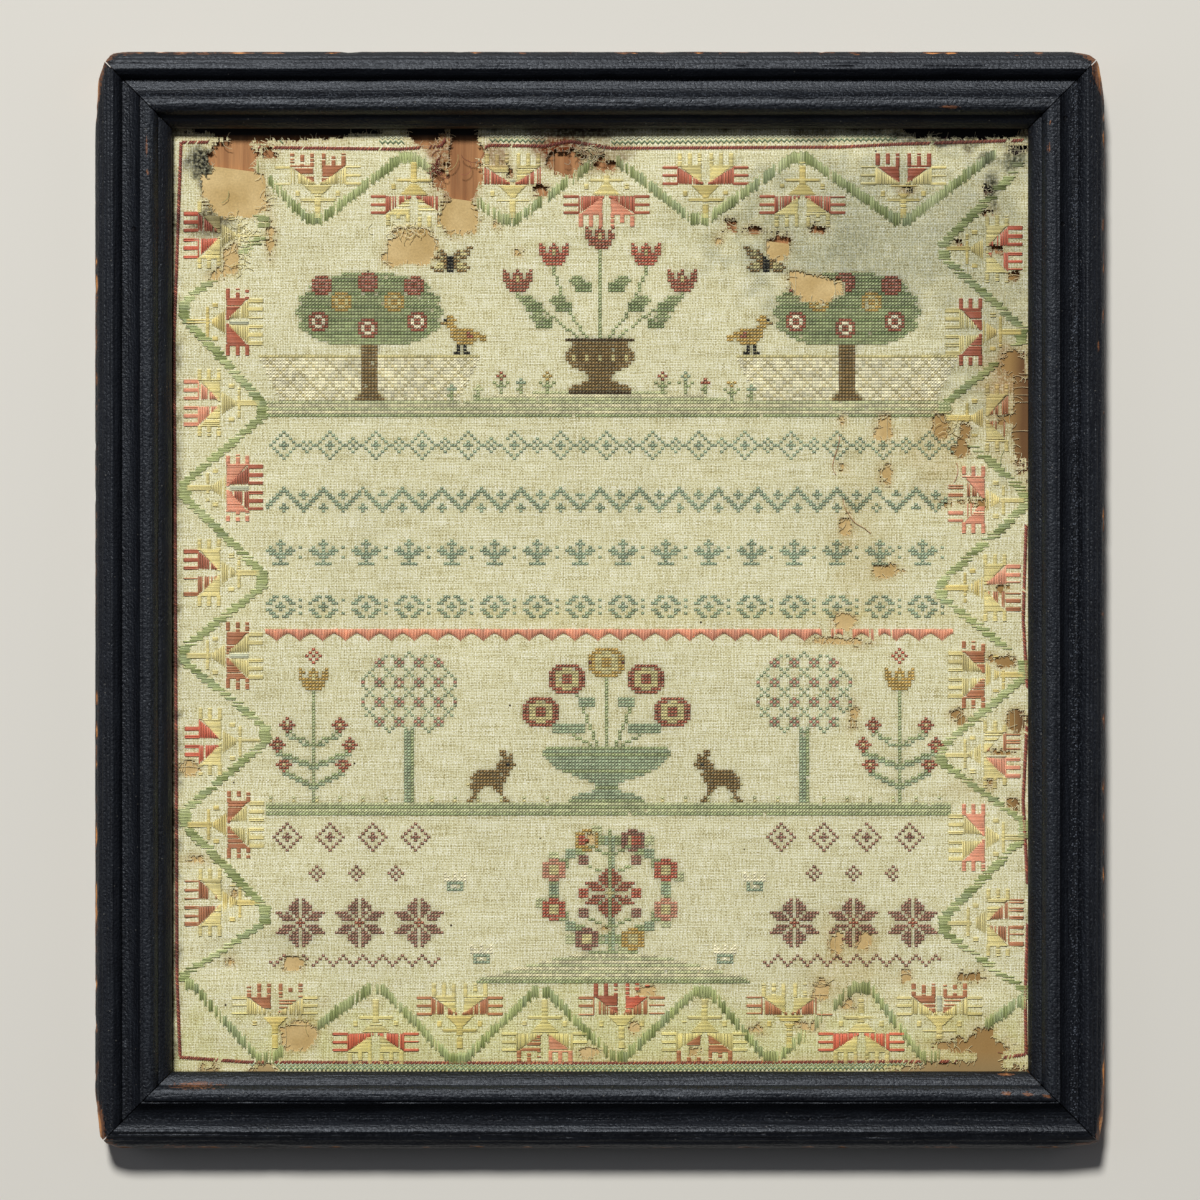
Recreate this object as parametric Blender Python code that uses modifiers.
"""A cross stitch sampler in an ebonised moulded frame, lying on its back with its face up.

Four mitred lengths of moulding stand round a sandwich that their rebate holds: the old linen,
a sheet of card and a thin pine backboard. Metres, +Z up, +X and +Y to the right and the top of the
needlework. The origin is on the surface that the frame lies on, under the middle of the frame.
"""

import math
import random

import bmesh
import bpy
from mathutils import Matrix, Vector

MM = 0.001

# Driving dimensions. The sight opening is the rectangle of needlework that the frame leaves in view.
SIGHT_WIDTH = 249.7 * MM
SIGHT_HEIGHT = 275.0 * MM
MOULDING_WIDTH = 22.2 * MM
REBATE_WIDTH = 6.0 * MM
REBATE_DEPTH = 8.0 * MM
FIT_GAP = 0.3 * MM

BOARD_THICKNESS = 5.0 * MM
CARD_THICKNESS = 0.8 * MM
LINEN_THICKNESS = 1.0 * MM
BOARD_CLEARANCE = 0.5 * MM
CARD_TUCK = 5.0 * MM
LINEN_TUCK = 4.0 * MM

OUTER_WIDTH = SIGHT_WIDTH + 2 * MOULDING_WIDTH
OUTER_HEIGHT = SIGHT_HEIGHT + 2 * MOULDING_WIDTH
CARD_BASE = BOARD_THICKNESS + FIT_GAP
LINEN_TOP = CARD_BASE + CARD_THICKNESS + FIT_GAP + LINEN_THICKNESS

# The moulding's section, in mm: each row ends a stretch at `out` from the sight edge and `up` from
# the back, with a bow of `bulge` towards the viewer, drawn in `steps`. The first stretch starts at
# the lip of the rebate.
SECTION_START = (0.0, REBATE_DEPTH / MM)
SECTION = (
    # stretch             out    up   bulge steps
    ("sight edge", 0.0, 9.5, 0.0, 1),
    ("inner slope", 2.9, 12.2, 0.35, 3),
    ("inner fillet", 3.5, 12.4, 0.0, 1),
    ("inner bead", 7.7, 15.2, 1.35, 7),
    ("quirk", 7.9, 14.5, 0.0, 1),
    ("ridge fillet", 8.6, 14.5, 0.0, 1),
    ("cove", 14.2, 10.8, -0.95, 6),
    ("inner flank of the outer bead", 16.1, 13.8, 0.45, 3),
    ("outer bead", 17.6, 13.8, 0.45, 4),
    ("first reed", 18.6, 13.4, 0.2, 2),
    ("second reed", 19.9, 12.7, 0.22, 2),
    ("third reed", 21.4, 11.5, 0.22, 2),
    ("worn arris", 22.2, 10.0, 0.15, 2),
    ("outer side", 22.2, 0.0, 0.0, 1),
    ("back", 6.0, 0.0, 0.0, 1),
    ("rebate wall", 6.0, 8.0, 0.0, 1),
)

# Each corner of the frame is rubbed away. The knots are insets in mm from the stile's outer side and
# from the rail's, and run from the stile to the rail.
WORN_CORNERS = {
    (-1, 1): ((-0.6, 30.0), (0.3, 19.0), (1.0, 8.3), (3.0, 3.0), (4.6, 0.7), (9.0, -0.1), (14.0, -0.6)),
    (1, 1): ((-0.6, 22.0), (0.2, 15.1), (0.9, 8.8), (2.2, 2.8), (4.4, 1.0), (8.6, 0.2), (13.0, -0.6)),
    (1, -1): ((-0.6, 25.0), (0.2, 16.0), (0.7, 8.1), (1.9, 2.1), (4.4, 1.2), (11.0, 0.4), (18.0, -0.6)),
    (-1, -1): ((-0.6, 22.0), (0.3, 14.0), (1.6, 3.4), (3.0, 1.7), (6.2, 0.3), (9.0, -0.1), (13.0, -0.6)),
}
BLANK_DEPTH = 40 * MM

# The card's top edge runs askew, so the backboard shows above it.
CARD_TOP_LEFT = 129.0 * MM
CARD_TOP_RIGHT = 94.0 * MM

# Losses in the linen of 4 mm and more: centre and half size in mm, from the middle of the frame.
LOSSES = (
    # place                    x       y     half_x half_y
    ("corner, upper part", -106.9, 129.3, 7.0, 4.6),
    ("corner, lower part", -106.5, 119.0, 9.4, 7.9),
    ("top strip", -91.8, 137.0, 28.0, 5.8),
    ("top strip, right", 104.6, 138.2, 20.6, 5.5),
    ("top channel", -39.4, 128.0, 5.2, 13.0),
    ("channel, left notch", -46.4, 122.8, 2.6, 4.0),
    ("channel, foot", -41.0, 111.3, 5.6, 6.0),
    ("below the channel", -54.4, 102.6, 7.4, 5.3),
    ("top middle", -10.6, 127.1, 5.5, 3.9),
    ("top, right of middle", 1.2, 126.4, 3.9, 2.6),
    ("left side, top", -107.5, 99.4, 2.2, 4.1),
    ("top right", 52.0, 102.9, 3.6, 4.1),
    ("top right, lower", 63.0, 90.4, 7.0, 3.5),
    ("right edge, top", 119.8, 68.7, 3.4, 3.9),
    ("right edge, strip", 122.8, 51.2, 2.8, 14.8),
    ("right of the ground line", 98.9, 50.7, 2.5, 3.8),
    ("beside the vine", 105.0, 43.7, 2.5, 2.3),
    ("right, under the ground line", 82.1, 49.7, 2.5, 3.6),
    ("right, middle", 83.4, 8.6, 3.8, 2.1),
    ("over the tooth band", 70.5, -6.0, 3.3, 2.8),
    ("right, lower", 104.0, -33.8, 2.8, 2.2),
    ("right edge, lower", 120.7, -34.9, 3.3, 3.2),
    ("right edge, small", 117.9, -18.2, 2.5, 2.2),
    ("lower right field", 77.0, -99.4, 2.4, 2.6),
    ("lower right field, left", 68.5, -100.1, 2.2, 3.5),
    ("bottom, right of middle", 64.3, -113.3, 3.3, 3.0),
    ("bottom right, upper", 105.8, -128.7, 6.6, 3.7),
    ("bottom right, lower", 113.9, -131.4, 5.1, 3.8),
    ("bottom left", -87.5, -126.5, 5.1, 4.9),
    ("bottom middle", -2.6, -131.3, 4.3, 2.2),
    ("over the middle flower", 13.5, -113.5, 2.7, 2.1),
    ("bottom strip", 103.3, -139.0, 22.2, 4.6),
    ("bottom notch, left", -113.3, -139.5, 3.1, 4.9),
    ("bottom notch", -97.7, -139.5, 5.4, 4.7),
)
LOSS_SIDES = 11
LOSS_SQUARENESS = 2.6
LOSS_RAGGEDNESS = 0.13

# The linen cockles by less than a millimetre: half wave, in mm, of the swells across and along it.
COCKLE_HEIGHT = 0.35 * MM
COCKLE_ACROSS = 61.0
COCKLE_ALONG = 47.0
COCKLE_FADE = 9.0 * MM
LINEN_CELLS = (26, 28)

BASE_COLOURS = {
    "ebonised_pine": (0.020, 0.022, 0.028, 1.0),
    "old_linen": (0.62, 0.57, 0.40, 1.0),
    "buff_card": (0.52, 0.36, 0.19, 1.0),
    "bare_pine": (0.40, 0.19, 0.07, 1.0),
}
ROUGHNESS = {"ebonised_pine": 0.45, "old_linen": 0.95, "buff_card": 0.9, "bare_pine": 0.7}


def clear_scene():
    for thing in list(bpy.data.objects):
        bpy.data.objects.remove(thing)


def new_collection(name):
    collection = bpy.data.collections.new(name)
    bpy.context.scene.collection.children.link(collection)
    return collection


def new_material(name):
    material = bpy.data.materials.new(name)
    material.use_nodes = True
    shader = material.node_tree.nodes["Principled BSDF"]
    shader.inputs["Base Color"].default_value = BASE_COLOURS[name]
    shader.inputs["Roughness"].default_value = ROUGHNESS[name]
    shader.inputs["Metallic"].default_value = 0.0
    return material


def make_node(name, mesh, material, collection, parent):
    """One sub-part of the object: a mesh object in its own material, parented to the frame's empty."""
    node = bpy.data.objects.new(name, mesh)
    mesh.materials.append(material)
    collection.objects.link(node)
    node.parent = parent
    return node


def make_cutter(name, mesh, collection):
    """A helper that shapes a sub-part and isn't one itself."""
    cutter = bpy.data.objects.new(name, mesh)
    collection.objects.link(cutter)
    cutter.hide_render = True
    cutter.display_type = "WIRE"
    return cutter


def add_boolean(node, operation, cutter=None, cutters=None):
    boolean = node.modifiers.new(operation.title(), "BOOLEAN")
    boolean.operation = operation
    boolean.solver = "EXACT"
    if cutters:
        boolean.operand_type = "COLLECTION"
        boolean.collection = cutters
    else:
        boolean.object = cutter
    return boolean


def outline_slab(name, outline, thickness):
    """A flat outline, given in the XY plane, with half its thickness on each side of it, as a mesh."""
    curve = bpy.data.curves.new(name, "CURVE")
    curve.dimensions = "2D"
    curve.fill_mode = "BOTH"
    curve.extrude = thickness / 2
    spline = curve.splines.new("POLY")
    spline.points.add(len(outline) - 1)
    for point, (x, y) in zip(spline.points, outline):
        point.co = (x, y, 0.0, 1.0)
    spline.use_cyclic_u = True
    holder = bpy.data.objects.new(name, curve)
    bpy.context.scene.collection.objects.link(holder)
    graph = bpy.context.evaluated_depsgraph_get()
    mesh = bpy.data.meshes.new_from_object(holder.evaluated_get(graph))
    bpy.data.objects.remove(holder)
    shape = bmesh.new()
    shape.from_mesh(mesh)
    bmesh.ops.remove_doubles(shape, verts=shape.verts, dist=0.001 * MM)
    bmesh.ops.recalc_face_normals(shape, faces=shape.faces)
    shape.to_mesh(mesh)
    shape.free()
    return mesh


def bowed_stretch(start, end, bulge, steps):
    """Points from start, left out, to end, bowed sideways by bulge at the middle."""
    start, end = Vector(start), Vector(end)
    along = end - start
    side = Vector((-along.y, along.x)).normalized()
    points = []
    for step in range(1, steps + 1):
        share = step / steps
        points.append(start + along * share + side * bulge * 4 * share * (1 - share))
    return points


def section_outline():
    points = [Vector(SECTION_START)]
    for _stretch, out, up, bulge, steps in SECTION:
        points += bowed_stretch(points[-1], (out, up), bulge, steps)
    # The last point is the lip's far corner. The outline closes from there to the first point.
    return [(point.x * MM, point.y * MM) for point in points]


def mitre(mesh, sight_length):
    """Cuts both ends at 45 degrees, so that the sight edge keeps its length less half the joint's gap."""
    shape = bmesh.new()
    shape.from_mesh(mesh)
    for end in (-1, 1):
        normal = Vector((end, 1.0, 0.0)).normalized()
        corner = Vector((end * sight_length / 2, 0.0, 0.0))
        geometry = shape.verts[:] + shape.edges[:] + shape.faces[:]
        cut = bmesh.ops.bisect_plane(
            shape,
            geom=geometry,
            plane_co=corner - normal * FIT_GAP / 2,
            plane_no=normal,
            clear_outer=True,
        )
        rim = [item for item in cut["geom_cut"] if isinstance(item, bmesh.types.BMEdge)]
        bmesh.ops.contextual_create(shape, geom=rim)
    bmesh.ops.recalc_face_normals(shape, faces=shape.faces)
    shape.to_mesh(mesh)
    shape.free()


def moulding_mesh(name, sight_length):
    """A mitred length of moulding: along X, its sight edge on the X axis, its width towards -Y."""
    mesh = outline_slab(name, section_outline(), sight_length + 3 * MOULDING_WIDTH)
    # The section's out, up and length become -Y, +Z and -X.
    stand_up = Matrix(((0, 0, -1, 0), (-1, 0, 0, 0), (0, 1, 0, 0), (0, 0, 0, 1)))
    mesh.transform(stand_up)
    mitre(mesh, sight_length)
    return mesh


def worn_outline():
    """The frame's outer outline: straight sides just clear of the moulding, and rubbed corners."""
    outline = []
    for corner in ((-1, 1), (1, 1), (1, -1), (-1, -1)):
        side_x, side_y = corner
        knots = [
            (side_x * (OUTER_WIDTH / 2 - inset_x * MM), side_y * (OUTER_HEIGHT / 2 - inset_y * MM))
            for inset_x, inset_y in WORN_CORNERS[corner]
        ]
        outline += knots if side_x == -side_y else knots[::-1]
    return outline


def make_frame(material, collection, cutters, parent):
    blank = make_cutter(
        "worn_corner_blank", outline_slab("worn_corner_blank", worn_outline(), BLANK_DEPTH), cutters
    )
    members = (
        # node          sight length  from the middle       turn about Z
        ("rail_bottom", SIGHT_WIDTH, SIGHT_HEIGHT / 2, 0.0),
        ("stile_right", SIGHT_HEIGHT, SIGHT_WIDTH / 2, math.pi / 2),
        ("rail_top", SIGHT_WIDTH, SIGHT_HEIGHT / 2, math.pi),
        ("stile_left", SIGHT_HEIGHT, SIGHT_WIDTH / 2, -math.pi / 2),
    )
    for name, sight_length, reach, turn in members:
        member = make_node(name, moulding_mesh(name, sight_length), material, collection, parent)
        member.location = Matrix.Rotation(turn, 3, "Z") @ Vector((0.0, -reach, 0.0))
        member.rotation_euler = (0.0, 0.0, turn)
        add_boolean(member, "INTERSECT", cutter=blank)


def make_backboard(material, collection, parent):
    """A pine board that lies in the rebate, flush with the back of the frame."""
    shape = bmesh.new()
    bmesh.ops.create_cube(shape, size=1.0)
    reach = 2 * (REBATE_WIDTH - BOARD_CLEARANCE)
    bmesh.ops.scale(
        shape, vec=(SIGHT_WIDTH + reach, SIGHT_HEIGHT + reach, BOARD_THICKNESS), verts=shape.verts
    )
    mesh = bpy.data.meshes.new("backboard")
    shape.to_mesh(mesh)
    shape.free()
    board = make_node("backboard", mesh, material, collection, parent)
    board.location.z = BOARD_THICKNESS / 2


def make_card(material, collection, parent):
    """A sheet of card between the board and the linen, cut askew along its top edge."""
    half_width = SIGHT_WIDTH / 2 + CARD_TUCK
    foot = -SIGHT_HEIGHT / 2 - CARD_TUCK
    outline = (
        (-half_width, foot),
        (half_width, foot),
        (half_width, CARD_TOP_RIGHT),
        (-half_width, CARD_TOP_LEFT),
    )
    mesh = outline_slab("backing_card", outline, CARD_THICKNESS)
    card = make_node("backing_card", mesh, material, collection, parent)
    card.location.z = CARD_BASE + CARD_THICKNESS / 2


def cockle(x, y):
    """Height of the linen over its flat plane. It lies flat where the frame covers it."""
    swell = math.sin(x / MM / COCKLE_ACROSS * math.pi + 0.6) * math.cos(y / MM / COCKLE_ALONG * math.pi)
    swell += 0.6 * math.sin((x + y) / MM / COCKLE_ALONG * math.pi * 0.5 + 2.0)
    margin = min(SIGHT_WIDTH / 2 - abs(x), SIGHT_HEIGHT / 2 - abs(y))
    fade = min(max(margin / COCKLE_FADE, 0.0), 1.0)
    return COCKLE_HEIGHT * (swell + 1.6) * fade


def loss_mesh(index, half_x, half_y):
    """A ragged, squarish prism, which cuts one loss."""
    rough = random.Random(index)
    reach = []
    for side in range(LOSS_SIDES):
        angle = 2 * math.pi * side / LOSS_SIDES
        square = abs(math.cos(angle)) ** LOSS_SQUARENESS + abs(math.sin(angle)) ** LOSS_SQUARENESS
        reach.append(square ** (-1 / LOSS_SQUARENESS) * (1 + rough.uniform(-1, 1) * LOSS_RAGGEDNESS))
    shape = bmesh.new()
    bmesh.ops.create_cone(
        shape, cap_ends=True, segments=LOSS_SIDES, radius1=1.0, radius2=1.0, depth=BLANK_DEPTH
    )
    for vertex in shape.verts:
        angle = math.atan2(vertex.co.y, vertex.co.x) % (2 * math.pi)
        side = round(angle * LOSS_SIDES / (2 * math.pi)) % LOSS_SIDES
        vertex.co.x *= half_x * MM * reach[side]
        vertex.co.y *= half_y * MM * reach[side]
    mesh = bpy.data.meshes.new(f"loss_{index:02d}")
    shape.to_mesh(mesh)
    shape.free()
    return mesh


def make_linen(material, collection, parent):
    """The worked linen: a sheet with slow cockles, cut through where the cloth is lost."""
    losses = new_collection("linen_losses")
    for index, (_place, x, y, half_x, half_y) in enumerate(LOSSES):
        cutter = make_cutter(f"loss_{index:02d}", loss_mesh(index, half_x, half_y), losses)
        cutter.location = (x * MM, y * MM, 0.0)

    width = SIGHT_WIDTH + 2 * LINEN_TUCK
    height = SIGHT_HEIGHT + 2 * LINEN_TUCK
    shape = bmesh.new()
    bmesh.ops.create_grid(shape, x_segments=LINEN_CELLS[0], y_segments=LINEN_CELLS[1], size=0.5)
    for vertex in shape.verts:
        vertex.co.x *= width
        vertex.co.y *= height
        vertex.co.z = cockle(vertex.co.x, vertex.co.y)
    mesh = bpy.data.meshes.new("linen")
    shape.to_mesh(mesh)
    shape.free()
    linen = make_node("linen", mesh, material, collection, parent)
    linen.location.z = LINEN_TOP
    solidify = linen.modifiers.new("Thickness", "SOLIDIFY")
    solidify.thickness = LINEN_THICKNESS
    solidify.offset = -1.0
    add_boolean(linen, "DIFFERENCE", cutters=losses)


def main():
    clear_scene()
    collection = new_collection("framed_cross_stitch_sampler")
    cutters = new_collection("cutters")
    middle = bpy.data.objects.new("frame_middle", None)
    collection.objects.link(middle)
    materials = {name: new_material(name) for name in BASE_COLOURS}
    make_frame(materials["ebonised_pine"], collection, cutters, middle)
    make_backboard(materials["bare_pine"], collection, middle)
    make_card(materials["buff_card"], collection, middle)
    make_linen(materials["old_linen"], collection, middle)


main()
